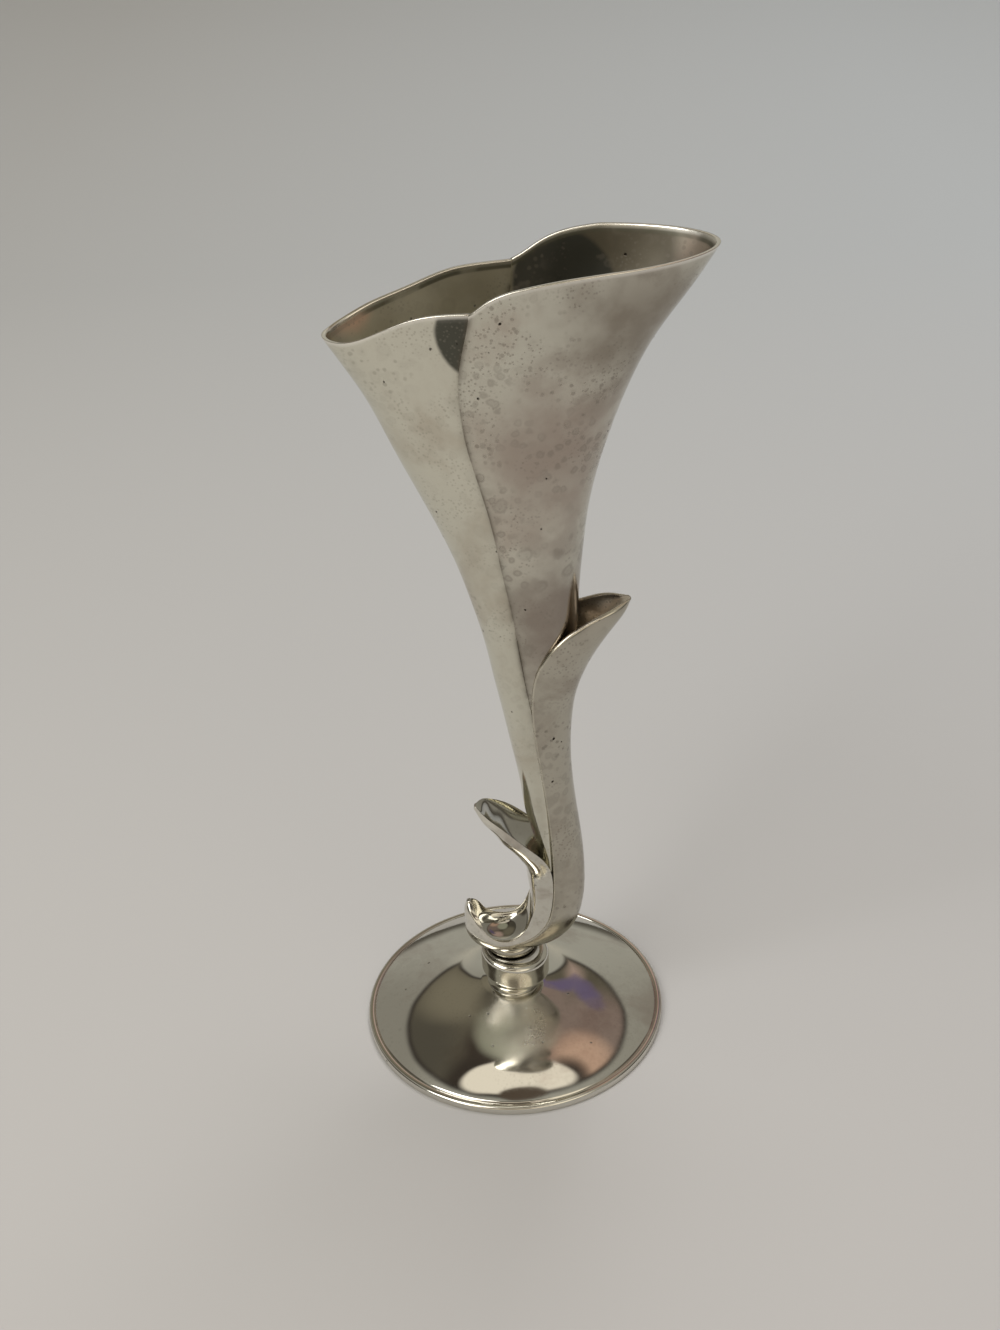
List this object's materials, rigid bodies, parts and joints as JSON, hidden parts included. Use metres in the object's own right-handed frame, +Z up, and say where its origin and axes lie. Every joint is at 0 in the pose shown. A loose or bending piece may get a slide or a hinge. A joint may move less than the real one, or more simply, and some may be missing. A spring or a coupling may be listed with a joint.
{
  "type": "trumpet vase",
  "caption": "Free-standing lily-shaped flower vase: two lapped metal petals flare from a cast stem with curled leaves, on a round weighted foot.",
  "frame": {"origin": "centre of the round foot on the plane that it rests on", "axes": "+Z up; +X along the wide way of the mouth, towards the taller petal and the stem's leaf; +Y to the back"},
  "size_m": [0.0801, 0.07, 0.1875],
  "materials": {
    "petal_plate": "aged silver plate, soft polish with tarnish specks",
    "stem_plate": "aged silver plate, polished casting with dark creases",
    "foot_plate": "silver plate, mirror polish with light tarnish",
    "soft_solder": "dull solder fill",
    "iron_weight": "rough cast",
    "zinc_steel": "zinc plated",
    "green_felt": "woollen baize"
  },
  "bodies": {
    "root": {"left_petal": "petal_plate", "right_petal": "petal_plate", "throat_plug": "soft_solder", "stem_casting": "stem_plate", "scroll_leaf": "stem_plate", "collar": "foot_plate", "foot_shell": "foot_plate", "foot_weight": "iron_weight", "clamp_washer": "zinc_steel", "tie_screw": "zinc_steel", "base_felt": "green_felt"}
  },
  "joints": []
}
